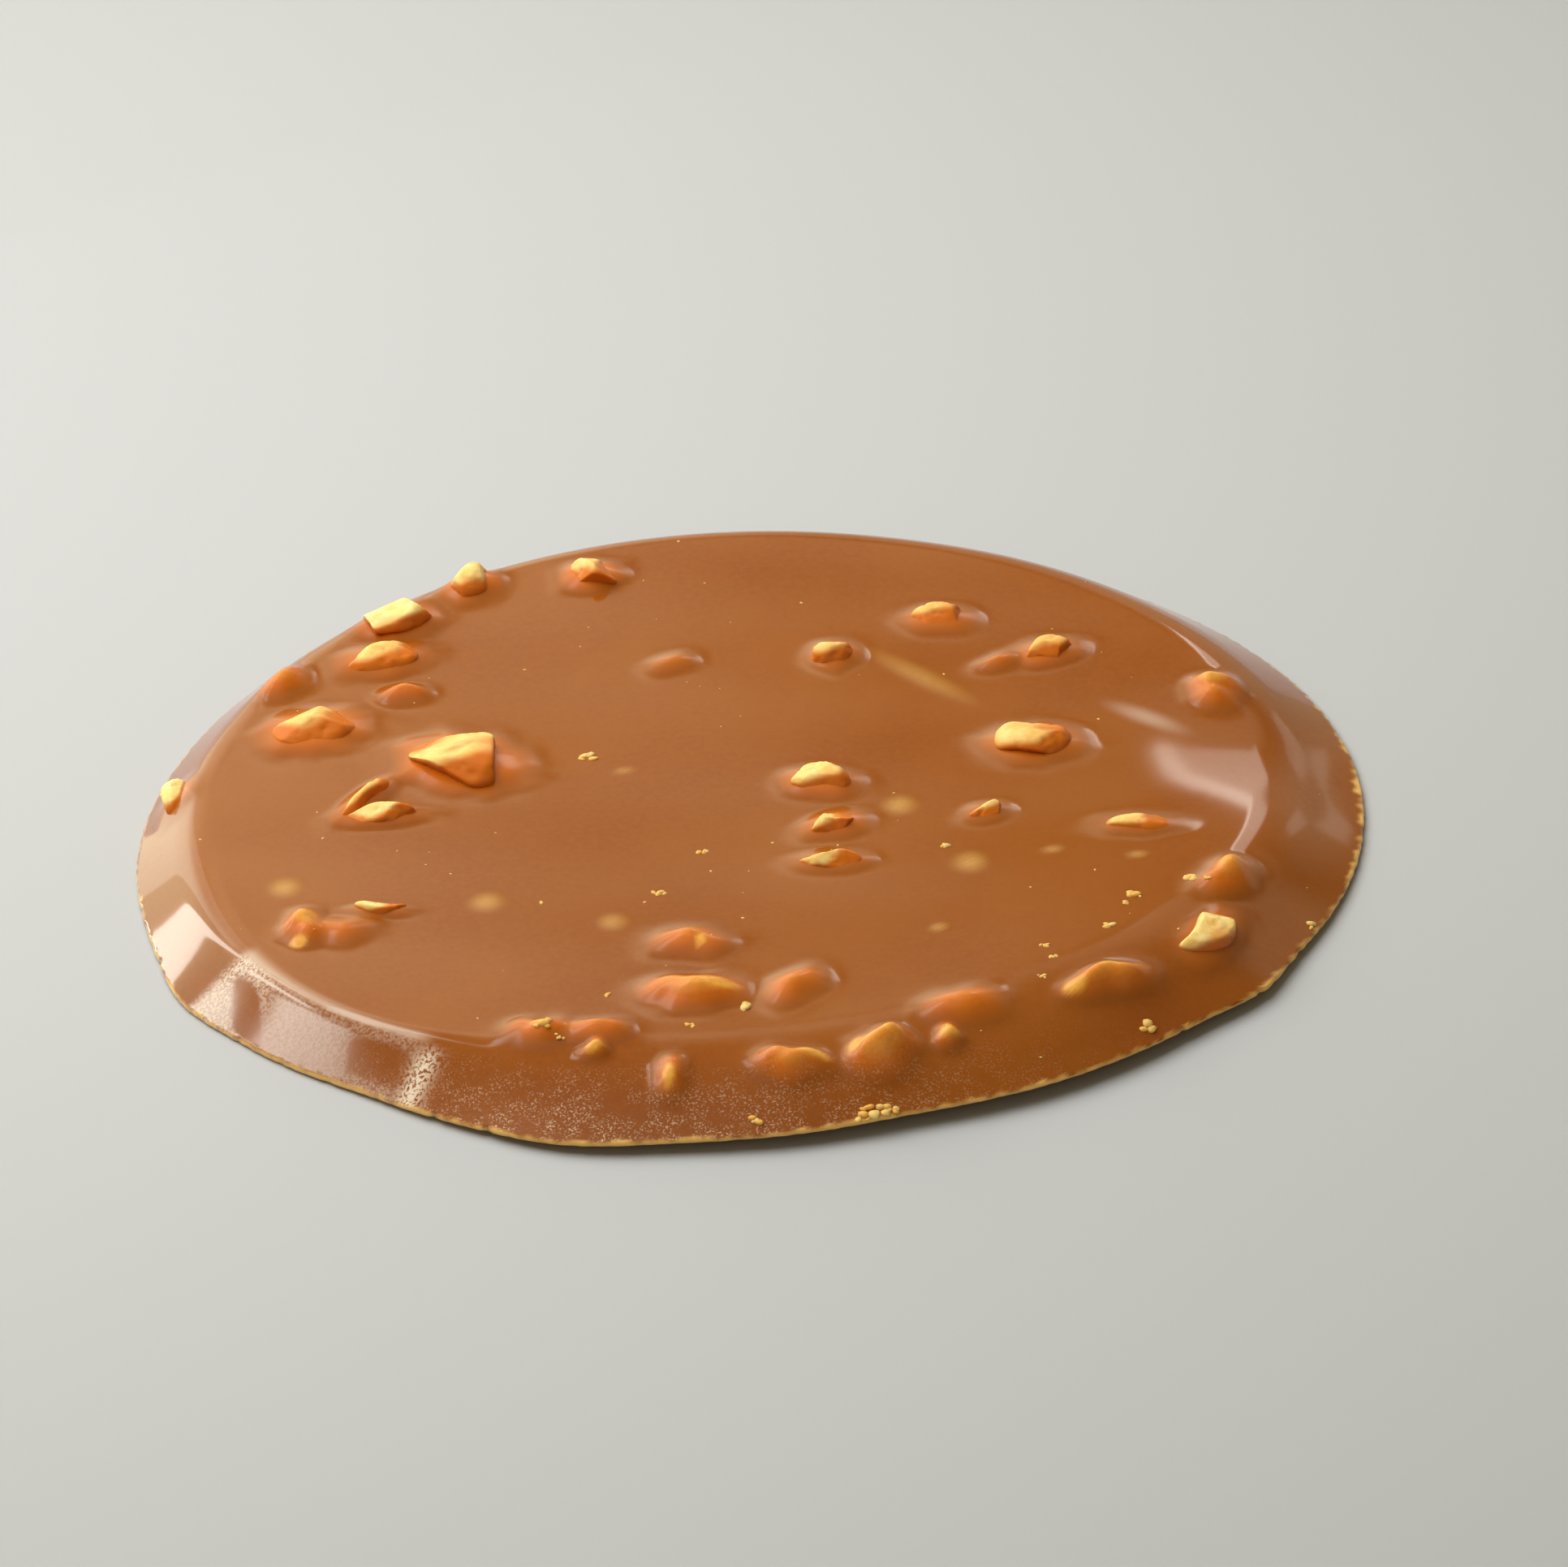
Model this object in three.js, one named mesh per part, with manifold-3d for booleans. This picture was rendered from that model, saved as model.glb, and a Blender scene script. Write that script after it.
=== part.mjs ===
// Chocolate tuile: a thin round puddle of milk chocolate, bent a little, with chopped roasted nuts set in it.
// Millimetres. It lies with the nut side up: +Z up, +X right and +Y away as the nut side is looked at.
// The origin is on the flat foot of the underside, below the middle of the disc.
import * as THREE from "three";
import { mergeVertices } from "three/addons/utils/BufferGeometryUtils.js";
import Module from "manifold-3d";

// Disc
const RADIUS = 30;
const THICKNESS = 2.4;
const EDGE_HEIGHT = 0.14; // upright height of the thin outer edge, below the rounded lip
const BEND_RISE = 0.64; // how far the two bent-up sides stand above the flat of the underside
const BEND_AZIMUTH = 109; // degrees, the way in which the disc is bent up
const FLAT_HALF_WIDTH = 8; // half the width of the flat strip between the bent-up sides
const FOOT_LENGTH = 44; // flat foot along the strip, where it lay as it set and on which it rests
const FOOT_WIDTH = 14;
const FOOT_HEIGHT = 0.1; // how far the foot stands out below the rest of the underside

// Uneven outline: places where the puddle ran out further, or less far, than the round
const OUTLINE_SWELLS = [
  { azimuth: 190, height: -0.08, spread: 8 },
  { azimuth: 206, height: 0.5, spread: 7 },
  { azimuth: 230, height: -0.4, spread: 8 },
  { azimuth: 252, height: 0.65, spread: 8 },
  { azimuth: 283, height: -0.4, spread: 9 },
  { azimuth: 321, height: 0.55, spread: 5 },
];

// Lip: the slope from the top down to the edge, widest on one side and narrow on another. It bends into the top
// over a share of its width: over most of it at the front, and over little of it along the fold on the left.
const LIP_INSET = 3.4;
const LIP_INSET_SWING = 0.8;
const LIP_WIDEST_AZIMUTH = 300;
const LIP_NARROWING = 0.9;
const LIP_NARROW_AZIMUTH = 222;
const LIP_NARROW_SPREAD = 25;
const LIP_SOFTNESS = 0.35;
const LIP_FRONT_SOFTENING = 0.4;
const LIP_FRONT_AZIMUTH = 285;
const LIP_FRONT_SPREAD = 35;
const LIP_FOLD_SHARPENING = 0.2;
const LIP_FOLD_AZIMUTH = 220;
const LIP_FOLD_SPREAD = 20;

// Shoulder on the right, where the top falls gently before the lip
const SHOULDER_FALL = 1.4;
const SHOULDER_WIDTH = 13;
const SHOULDER_ROUNDING = 2;
const SHOULDER_AZIMUTH = 0;
const SHOULDER_SPREAD = 14;

// Low waves left in the top as the chocolate set: height, length and heading of each
const WAVES = [
  { height: 0.03, length: 21, heading: 25 },
  { height: 0.02, length: 13, heading: 140 },
  { height: 0.01, length: 9, heading: 80 },
];

// Chopped nuts, the largest first. rise is how far the top stands above the poured chocolate, and cover the
// share of the rise that the chocolate climbs: at 1 the nut is coated all over and only a bump shows.
const NUTS = [
  { x: -13.9, y: 4.4, length: 5.4, width: 4.0, rise: 1.4, turn: -35, cover: 0.4 },
  { x: -3.1, y: -19.6, length: 4.7, width: 2.8, rise: 1.0, turn: 5, cover: 1 },
  { x: 16.3, y: -20.9, length: 4.4, width: 1.7, rise: 0.9, turn: 28, cover: 1 },
  { x: -21.2, y: 8.6, length: 4.4, width: 3.4, rise: 1.2, turn: 20, cover: 0.4 },
  { x: 21.5, y: -16.5, length: 4.2, width: 2.0, rise: 0.9, turn: 60, cover: 0.35, bow: 0.6 },
  { x: -18.7, y: 1.2, length: 4.2, width: 1.3, rise: 0.8, turn: 57, cover: 0.4 },
  { x: -17.9, y: -0.6, length: 3.8, width: 1.4, rise: 0.8, turn: 0, cover: 0.35 },
  { x: -17.9, y: 15.5, length: 3.8, width: 2.6, rise: 0.9, turn: 15, cover: 0.4 },
  { x: -3.1, y: -14.9, length: 3.8, width: 2.6, rise: 0.7, turn: 10, cover: 1 },
  { x: 1.7, y: -19.9, length: 3.8, width: 2.3, rise: 0.65, turn: 70, cover: 1 },
  { x: 14.2, y: 2.8, length: 3.8, width: 3.0, rise: 1.1, turn: -10, cover: 0.4 },
  { x: 9.5, y: -22.8, length: 3.8, width: 2.8, rise: 0.6, turn: 30, cover: 1 },
  { x: 18.7, y: -5.9, length: 3.6, width: 1.8, rise: 0.5, turn: -6, cover: 0.35 },
  { x: -17.1, y: 19.4, length: 3.6, width: 2.8, rise: 1.2, turn: 30, cover: 0.35 },
  { x: -19.6, y: -11.6, length: 3.4, width: 2.6, rise: 0.4, turn: 10, cover: 1 },
  { x: 1.3, y: -26.6, length: 3.4, width: 1.8, rise: 0.9, turn: -5, cover: 1 },
  { x: 3.8, y: -7.8, length: 3.2, width: 1.6, rise: 0.7, turn: -8, cover: 0.35 },
  { x: 22.5, y: -11.8, length: 3.2, width: 2.2, rise: 1.0, turn: 85, cover: 1 },
  { x: -10.3, y: -22.4, length: 3.2, width: 2.2, rise: 0.7, turn: 15, cover: 1 },
  { x: -7.6, y: -22.6, length: 3.2, width: 2.2, rise: 0.6, turn: -20, cover: 1 },
  { x: -23.0, y: 13.8, length: 3.2, width: 2.2, rise: 0.8, turn: 50, cover: 1 },
  { x: 5.4, y: -25.6, length: 3.0, width: 2.3, rise: 1.3, turn: 10, cover: 1 },
  { x: 23.5, y: 7.1, length: 3.0, width: 2.4, rise: 0.9, turn: 40, cover: 1 },
  { x: -21.4, y: -11.0, length: 3.0, width: 1.8, rise: 0.8, turn: 80, cover: 1 },
  { x: -28.0, y: 4.6, length: 3.0, width: 1.7, rise: 0.7, turn: 80, cover: 0.35 },
  { x: 10.2, y: 16.5, length: 3.0, width: 2.2, rise: 0.8, turn: -15, cover: 0.4 },
  { x: 3.7, y: 0.1, length: 3.0, width: 2.2, rise: 1.0, turn: -25, cover: 0.45 },
  { x: -13.3, y: 22.7, length: 2.8, width: 2.2, rise: 1.2, turn: 60, cover: 0.4 },
  { x: 15.5, y: 12.3, length: 2.8, width: 2.2, rise: 0.9, turn: 20, cover: 0.4 },
  { x: 4.1, y: -4.2, length: 2.8, width: 2.0, rise: 0.8, turn: 20, cover: 0.45 },
  { x: -18.0, y: -9.8, length: 2.7, width: 1.0, rise: 0.5, turn: -12, cover: 0.35, bow: 0.7 },
  { x: -3.4, y: 13.4, length: 2.6, width: 2.0, rise: 0.3, turn: 0, cover: 1 },
  { x: 13.0, y: 11.5, length: 2.6, width: 1.6, rise: 0.4, turn: 15, cover: 1 },
  { x: -7.2, y: 23.0, length: 2.6, width: 2.4, rise: 1.1, turn: 0, cover: 0.4 },
  { x: -16.7, y: 12.0, length: 2.4, width: 1.8, rise: 0.6, turn: 10, cover: 1 },
  { x: 4.8, y: 13.3, length: 2.4, width: 2.0, rise: 1.0, turn: 75, cover: 0.4 },
  { x: -4.4, y: -26.6, length: 2.4, width: 1.6, rise: 0.55, turn: 80, cover: 1 },
  { x: 11.5, y: -3.9, length: 1.9, width: 1.5, rise: 0.6, turn: 20, cover: 0.4 },
  { x: 8.6, y: -24.9, length: 1.6, width: 1.3, rise: 0.6, turn: 80, cover: 1 },
  { x: -7.8, y: -24.4, length: 1.6, width: 1.2, rise: 0.6, turn: 40, cover: 1 },
];
const COATED = 1; // a nut with this cover has no bare part
const NUT_DEPTH = 1; // how far a nut reaches below the poured chocolate
const NUT_CUTS = 7; // knife cuts that give a nut its flat faces
const CUT_NEAREST = 0.55; // how far a cut lies from the middle of the nut, as a share of its half size
const CUT_FURTHEST = 0.9;
const SKIRT = 1.2; // reach of the chocolate that climbs a bare nut, as a share of its half size
const SKIRT_STEEPNESS = 3;
const BUMP_STEP = 0.2; // from one of a coated nut's three bumps to the next, as a share of its length
const BUMP_LENGTH = 0.58; // size of one bump, as a share of the nut's
const BUMP_WIDTH = 0.8;
const BUMP_STEEPNESS = 2;
const BUMP_LOWERING = 0.4; // how much lower an outer bump can be
const BUMP_SEED = 200;

// Fineness of the mesh
const SEGMENTS = 120;
const TOP_RINGS = 28;
const UNDER_RINGS = 4;
const NUT_DETAIL = 1;

const CHOCOLATE = new THREE.MeshStandardMaterial({ color: 0xb0733e, roughness: 0.35, metalness: 0 });

const toRadians = THREE.MathUtils.degToRad;

// Repeatable random numbers from 0 to 1
function makeRandom(seed) {
  let state = Math.imul(seed, 2654435761) >>> 0;
  return () => {
    state = (Math.imul(state, 1664525) + 1013904223) >>> 0;
    return state / 2 ** 32;
  };
}

// A smooth hump that is 1 at the middle azimuth and fades with the angle away from it
function hump(angle, azimuth, spread) {
  const turned = angle - toRadians(azimuth);
  const away = Math.atan2(Math.sin(turned), Math.cos(turned)) / toRadians(spread);
  return Math.exp(-away * away);
}

// Distance from the axis to the edge at an angle
function edgeRadius(angle) {
  return OUTLINE_SWELLS.reduce(
    (reach, swell) => reach + swell.height * hump(angle, swell.azimuth, swell.spread),
    RADIUS,
  );
}

// Height of the underside beside the foot: a flat strip, curving up to both sides of it
function underside(x, y) {
  const bend = toRadians(BEND_AZIMUTH);
  const across = Math.abs(x * Math.cos(bend) + y * Math.sin(bend));
  const lifted = Math.max(0, across - FLAT_HALF_WIDTH) / (RADIUS - FLAT_HALF_WIDTH);
  return FOOT_HEIGHT + BEND_RISE * lifted * lifted;
}

function waves(x, y) {
  return WAVES.reduce((sum, wave) => {
    const heading = toRadians(wave.heading);
    const along = x * Math.cos(heading) + y * Math.sin(heading);
    return sum + wave.height * Math.sin((2 * Math.PI * along) / wave.length);
  }, 0);
}

// How far the top has fallen on the shoulder
function shoulder(x, y) {
  const inward = RADIUS - Math.hypot(x, y);
  const share = THREE.MathUtils.clamp(1 - inward / SHOULDER_WIDTH, 0, 1);
  return SHOULDER_FALL * share ** SHOULDER_ROUNDING * hump(Math.atan2(y, x), SHOULDER_AZIMUTH, SHOULDER_SPREAD);
}

// 0 at the edge, 1 where the lip ends and the top begins, more further in
function lipShare(x, y) {
  const angle = Math.atan2(y, x);
  const swing = LIP_INSET_SWING * Math.cos(angle - toRadians(LIP_WIDEST_AZIMUTH));
  const inset = LIP_INSET + swing - LIP_NARROWING * hump(angle, LIP_NARROW_AZIMUTH, LIP_NARROW_SPREAD);
  const edge = edgeRadius(angle);
  return Math.max(0, (edge - Math.hypot(x, y)) / (edge - RADIUS + inset));
}

// Height of the lip from 0 to 1: a slope that bends softly into the top
function lipProfile(x, y) {
  const share = lipShare(x, y);
  const angle = Math.atan2(y, x);
  const softening = LIP_FRONT_SOFTENING * hump(angle, LIP_FRONT_AZIMUTH, LIP_FRONT_SPREAD);
  const sharpening = LIP_FOLD_SHARPENING * hump(angle, LIP_FOLD_AZIMUTH, LIP_FOLD_SPREAD);
  const softness = LIP_SOFTNESS + softening - sharpening;
  const near = THREE.MathUtils.clamp(0.5 + (0.5 * (1 - share)) / softness, 0, 1);
  return 1 - near + near * share - softness * near * (1 - near);
}

// Height of the poured chocolate before the nuts lift it
function poured(x, y) {
  const depth = THICKNESS - EDGE_HEIGHT - shoulder(x, y);
  const ripple = Math.min(1, lipShare(x, y)) * waves(x, y);
  return underside(x, y) + EDGE_HEIGHT + depth * lipProfile(x, y) + ripple;
}

// Distance from the middle of a turned oval: 0 there and 1 on the oval
function shareAcross(oval, x, y) {
  const turn = toRadians(oval.turn);
  const along = (x - oval.x) * Math.cos(turn) + (y - oval.y) * Math.sin(turn);
  const aside = (y - oval.y) * Math.cos(turn) - (x - oval.x) * Math.sin(turn);
  return 2 * Math.hypot(along / oval.length, aside / oval.width);
}

// The three rounded bumps that a coated nut makes
function coatedBumps(nut, number) {
  const random = makeRandom(BUMP_SEED + number);
  const turn = toRadians(nut.turn);
  return [-1, 0, 1].map((step) => {
    const along = step * BUMP_STEP * nut.length;
    const aside = BUMP_STEP * nut.width * (2 * random() - 1);
    return {
      x: nut.x + along * Math.cos(turn) - aside * Math.sin(turn),
      y: nut.y + along * Math.sin(turn) + aside * Math.cos(turn),
      length: BUMP_LENGTH * nut.length,
      width: BUMP_WIDTH * nut.width,
      rise: nut.rise * (1 - BUMP_LOWERING * Math.abs(step) * random()),
      turn: nut.turn,
    };
  });
}

const BARE_NUTS = NUTS.filter((nut) => nut.cover < COATED);
const BUMPS = NUTS.flatMap((nut, number) => (nut.cover < COATED ? [] : coatedBumps(nut, number)));

// How far the chocolate climbs a bare nut, and how far a coated one lifts it
function skirtHeight(nut, x, y) {
  return nut.cover * nut.rise * Math.exp(-((shareAcross(nut, x, y) / SKIRT) ** SKIRT_STEEPNESS));
}

function bumpHeight(bump, x, y) {
  return bump.rise * Math.exp(-(shareAcross(bump, x, y) ** BUMP_STEEPNESS));
}

// Height of the finished top: neighbouring climbs run together smoothly
function topSurface(x, y) {
  const skirts = BARE_NUTS.reduce((sum, nut) => sum + skirtHeight(nut, x, y) ** 3, 0);
  const cubes = BUMPS.reduce((sum, bump) => sum + bumpHeight(bump, x, y) ** 3, skirts);
  const inside = THREE.MathUtils.clamp(edgeRadius(Math.atan2(y, x)) - Math.hypot(x, y), 0, 1);
  return poured(x, y) + inside * Math.cbrt(cubes);
}

// A puck of radius and height 1 with rings that close up towards the edge, then shaped point by point
function chocolateDisc() {
  const under = Array.from({ length: UNDER_RINGS + 1 }, (_, ring) => new THREE.Vector2(ring / UNDER_RINGS, 0));
  const over = Array.from({ length: TOP_RINGS + 1 }, (_, ring) => {
    return new THREE.Vector2(Math.cos(((Math.PI / 2) * ring) / TOP_RINGS), 1);
  });
  over[TOP_RINGS].x = 0;
  const disc = new THREE.LatheGeometry([...under, ...over], SEGMENTS);
  disc.rotateX(Math.PI / 2);
  const points = disc.getAttribute("position");
  for (let i = 0; i < points.count; i++) {
    const reach = edgeRadius(Math.atan2(points.getY(i), points.getX(i)));
    const x = points.getX(i) * reach;
    const y = points.getY(i) * reach;
    const height = points.getZ(i) > 0.5 ? topSurface(x, y) : underside(x, y);
    points.setXYZ(i, x, y, height);
  }
  return disc;
}

// The foot: a flat block that reaches up into the disc
function flatFoot() {
  const foot = new THREE.BoxGeometry(FOOT_LENGTH, FOOT_WIDTH, THICKNESS / 2);
  foot.translate(0, 0, THICKNESS / 4);
  foot.rotateZ(toRadians(BEND_AZIMUTH - 90));
  return foot;
}

// One chopped nut: a ball with flat faces cut on it, drawn out to size, bowed, turned and set in place
function choppedNut(nut, number) {
  const random = makeRandom(number + 1);
  const chunk = new THREE.IcosahedronGeometry(1, NUT_DETAIL);
  const points = chunk.getAttribute("position");
  const point = new THREE.Vector3();
  const facing = new THREE.Vector3();
  for (let cut = 0; cut < NUT_CUTS; cut++) {
    const azimuth = 2 * Math.PI * random();
    const upward = 2 * random() - 1;
    const outward = Math.sqrt(1 - upward * upward);
    const depth = CUT_NEAREST + (CUT_FURTHEST - CUT_NEAREST) * random();
    facing.set(outward * Math.cos(azimuth), outward * Math.sin(azimuth), upward);
    for (let i = 0; i < points.count; i++) {
      point.fromBufferAttribute(points, i);
      const beyond = Math.max(0, point.dot(facing) - depth);
      point.addScaledVector(facing, -beyond);
      points.setXYZ(i, point.x, point.y, point.z);
    }
  }
  chunk.computeBoundingBox();
  const { min, max } = chunk.boundingBox;
  const height = nut.rise + NUT_DEPTH;
  chunk.translate(-(min.x + max.x) / 2, -(min.y + max.y) / 2, -max.z);
  chunk.scale(nut.length / (max.x - min.x), nut.width / (max.y - min.y), height / (max.z - min.z));
  for (let i = 0; i < points.count; i++) {
    const along = points.getX(i) / (nut.length / 2);
    points.setY(i, points.getY(i) + (nut.bow ?? 0) * along * along);
  }
  chunk.rotateZ(toRadians(nut.turn));
  chunk.translate(nut.x, nut.y, poured(nut.x, nut.y) + nut.rise);
  return chunk;
}

const wasm = await Module();
wasm.setup();

// A closed geometry as a solid that can be joined
function toSolid(geometry) {
  geometry.deleteAttribute("normal");
  geometry.deleteAttribute("uv");
  const merged = mergeVertices(geometry, 1e-4);
  return new wasm.Manifold(
    new wasm.Mesh({
      numProp: 3,
      vertProperties: merged.getAttribute("position").array,
      triVerts: new Uint32Array(merged.index.array),
    }),
  );
}

function toGeometry(solid) {
  const mesh = solid.getMesh();
  const geometry = new THREE.BufferGeometry();
  geometry.setAttribute("position", new THREE.BufferAttribute(mesh.vertProperties, 3));
  geometry.setIndex(new THREE.BufferAttribute(mesh.triVerts, 1));
  geometry.computeVertexNormals();
  return geometry;
}

// The tuile: the disc with its foot and every bare nut joined to it as one piece
function buildTuile() {
  const solid = BARE_NUTS.reduce(
    (joined, nut) => joined.add(toSolid(choppedNut(nut, NUTS.indexOf(nut)))),
    toSolid(chocolateDisc()).add(toSolid(flatFoot())),
  );
  const tuile = new THREE.Mesh(toGeometry(solid), CHOCOLATE);
  tuile.name = "tuile";
  return tuile;
}

const part = new THREE.Group();
part.add(buildTuile());

export default part;
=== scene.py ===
"""Chocolate tuile: a thin round of milk chocolate with chopped roasted nuts set in its top.

It lies nut side up. Shapes are worked out in millimetres, in the part's own frame, and become metres when a
mesh is made.
"""
import math

import bmesh
import bpy
import numpy as np
from mathutils import Matrix, Vector, noise


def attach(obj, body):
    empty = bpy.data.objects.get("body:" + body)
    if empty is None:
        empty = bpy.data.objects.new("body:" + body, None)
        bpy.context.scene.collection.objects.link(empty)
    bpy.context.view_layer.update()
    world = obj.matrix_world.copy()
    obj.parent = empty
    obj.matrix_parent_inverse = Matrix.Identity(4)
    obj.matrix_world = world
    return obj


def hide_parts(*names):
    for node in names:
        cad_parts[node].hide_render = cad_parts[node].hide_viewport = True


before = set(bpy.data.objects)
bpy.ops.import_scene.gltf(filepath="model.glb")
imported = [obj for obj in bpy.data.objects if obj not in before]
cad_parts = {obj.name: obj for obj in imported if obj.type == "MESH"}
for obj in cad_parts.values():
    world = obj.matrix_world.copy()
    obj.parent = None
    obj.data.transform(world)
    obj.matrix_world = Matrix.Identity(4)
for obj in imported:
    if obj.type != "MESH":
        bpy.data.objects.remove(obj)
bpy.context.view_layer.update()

MM = 0.001
NODE = "tuile"

# Disc and the flat foot that it rests on, as in the solid
RADIUS = 30.0
THICKNESS = 2.4
EDGE_HEIGHT = 0.14
BEND_RISE = 0.64
BEND_AZIMUTH = 109
FLAT_HALF_WIDTH = 8.0
FOOT_LENGTH = 44.0
FOOT_WIDTH = 14.0
FOOT_HEIGHT = 0.1
FOOT_EDGE = 0.6

# Places where the puddle ran out further, or less far, than the round: azimuth, height, spread
OUTLINE_SWELLS = [
    (190, -0.08, 8),
    (206, 0.5, 7),
    (230, -0.4, 8),
    (252, 0.65, 8),
    (283, -0.4, 9),
    (321, 0.55, 5),
]

# Slope from the top to the edge, widest on one side, narrow and with a sharp fold above it on another
LIP_INSET = 3.4
LIP_INSET_SWING = 0.8
LIP_WIDEST_AZIMUTH = 300
LIP_NARROWING = 0.9
LIP_NARROW_AZIMUTH = 222
LIP_NARROW_SPREAD = 25
LIP_SOFTNESS = 0.35
LIP_FRONT_SOFTENING = 0.4
LIP_FRONT_AZIMUTH = 285
LIP_FRONT_SPREAD = 35
LIP_FOLD_SHARPENING = 0.2
LIP_FOLD_AZIMUTH = 220
LIP_FOLD_SPREAD = 20

# Shoulder on the right, where the top falls gently before the lip
SHOULDER_FALL = 1.4
SHOULDER_WIDTH = 13.0
SHOULDER_ROUNDING = 2
SHOULDER_AZIMUTH = 0
SHOULDER_SPREAD = 14

# Low waves left in the top: height, length, heading
WAVES = [
    (0.03, 21, 25),
    (0.02, 13, 140),
    (0.01, 9, 80),
]

# Chopped nuts, the largest first: x, y, length, width, rise above the poured chocolate, turn in degrees,
# the share of the rise that the chocolate climbs, the tone from coated and orange to bare and cream,
# and the azimuth of the side that is most bare and pale, which faces the window on the left, so that its
# paleness is partly painted light
NUTS = [
    (-13.9, 4.4, 5.4, 4.0, 1.4, -35, 0.4, 0.6, 115),
    (-3.1, -19.6, 4.7, 2.8, 1.0, 5, 1.0, 0.0, 0),
    (16.3, -20.9, 4.4, 1.7, 0.9, 28, 1.0, 0.0, 0),
    (-21.2, 8.6, 4.4, 3.4, 1.2, 20, 0.4, 0.55, 110),
    (21.5, -16.5, 4.2, 2.0, 0.9, 60, 0.35, 0.85, 150),
    (-18.7, 1.2, 4.2, 1.3, 0.8, 57, 0.4, 0.55, 150),
    (-17.9, -0.6, 3.8, 1.4, 0.8, 0, 0.35, 0.85, 150),
    (-17.9, 15.5, 3.8, 2.6, 0.9, 15, 0.4, 0.5, 120),
    (-3.1, -14.9, 3.8, 2.6, 0.7, 10, 1.0, 0.0, 0),
    (1.7, -19.9, 3.8, 2.3, 0.65, 70, 1.0, 0.0, 0),
    (14.2, 2.8, 3.8, 3.0, 1.1, -10, 0.4, 0.55, 130),
    (9.5, -22.8, 3.8, 2.8, 0.6, 30, 1.0, 0.0, 0),
    (18.7, -5.9, 3.6, 1.8, 0.5, -6, 0.35, 0.5, 180),
    (-17.1, 19.4, 3.6, 2.8, 1.2, 30, 0.35, 1.0, 120),
    (-19.6, -11.6, 3.4, 2.6, 0.4, 10, 1.0, 0.0, 0),
    (1.3, -26.6, 3.4, 1.8, 0.9, -5, 1.0, 0.0, 0),
    (3.8, -7.8, 3.2, 1.6, 0.7, -8, 0.35, 0.75, 170),
    (22.5, -11.8, 3.2, 2.2, 1.0, 85, 1.0, 0.0, 0),
    (-10.3, -22.4, 3.2, 2.2, 0.7, 15, 1.0, 0.0, 0),
    (-7.6, -22.6, 3.2, 2.2, 0.6, -20, 1.0, 0.0, 0),
    (-23.0, 13.8, 3.2, 2.2, 0.8, 50, 1.0, 0.0, 0),
    (5.4, -25.6, 3.0, 2.3, 1.3, 10, 1.0, 0.0, 0),
    (23.5, 7.1, 3.0, 2.4, 0.9, 40, 1.0, 0.0, 0),
    (-21.4, -11.0, 3.0, 1.8, 0.8, 80, 1.0, 0.0, 0),
    (-28.0, 4.6, 3.0, 1.7, 0.7, 80, 0.35, 0.9, 120),
    (10.2, 16.5, 3.0, 2.2, 0.8, -15, 0.4, 0.4, 120),
    (3.7, 0.1, 3.0, 2.2, 1.0, -25, 0.45, 0.65, 150),
    (-13.3, 22.7, 2.8, 2.2, 1.2, 60, 0.4, 0.8, 120),
    (15.5, 12.3, 2.8, 2.2, 0.9, 20, 0.4, 0.4, 120),
    (4.1, -4.2, 2.8, 2.0, 0.8, 20, 0.45, 0.65, 150),
    (-18.0, -9.8, 2.7, 1.0, 0.5, -12, 0.35, 0.85, 120),
    (-3.4, 13.4, 2.6, 2.0, 0.3, 0, 1.0, 0.0, 0),
    (13.0, 11.5, 2.6, 1.6, 0.4, 15, 1.0, 0.0, 0),
    (-7.2, 23.0, 2.6, 2.4, 1.1, 0, 0.4, 0.65, 120),
    (-16.7, 12.0, 2.4, 1.8, 0.6, 10, 1.0, 0.0, 0),
    (4.8, 13.3, 2.4, 2.0, 1.0, 75, 0.4, 0.65, 120),
    (-4.4, -26.6, 2.4, 1.6, 0.55, 80, 1.0, 0.0, 0),
    (11.5, -3.9, 1.9, 1.5, 0.6, 20, 0.4, 0.6, 120),
    (8.6, -24.9, 1.6, 1.3, 0.6, 80, 1.0, 0.0, 0),
    (-7.8, -24.4, 1.6, 1.2, 0.6, 40, 1.0, 0.0, 0),
]
# Bow of the slivers that are curved, by their place in the list
BOWED = {4: 0.6, 30: 0.7}
# Share of the rise from which a nut is covered whole
COATED = 1.0

# Form of the bare nuts: balls with flat faces cut on them, softened, sunk into the chocolate and pitted
NUT_BALL_LEVEL = 5
NUT_CUTS = 7
CUT_NEAREST = 0.55
CUT_FURTHEST = 0.9
NUT_SOFTENING = 5
SOFTENING_KEEPS = 0.4
NUT_DEPTH = 1.0
NUT_GRAIN = 0.5
FINER_GRAIN = 0.5
NUT_ROUGHNESS = 0.1

# Where a bare nut is dry: above a line that is lower on pale nuts and on the bare side, and clear of the seam.
# The bare side faces the window, so its paleness is partly painted light.
DRY_LINE = 0.7
DRY_LINE_LOWERING = 0.5
DRY_LINE_SOFTNESS = 0.4
DRY_LINE_UNEVENNESS = 0.3
BARE_AND_LIT_SIDE_SHARE = 0.8
BARE_FROM_TONE = 0.5
SEAM = 0.14

# Chocolate that climbs the sides of bare nuts and lies in bumps over coated ones, all a little uneven
SKIRT = 1.2
SKIRT_STEEPNESS = 3
BUMP_STEP = 0.2
BUMP_LENGTH = 0.58
BUMP_WIDTH = 0.8
BUMP_STEEPNESS = 2.0
BUMP_LOWERING = 0.4
BUMP_SEED = 200
LUMP_SIZE = 1.4
LUMPINESS = 0.15

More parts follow.
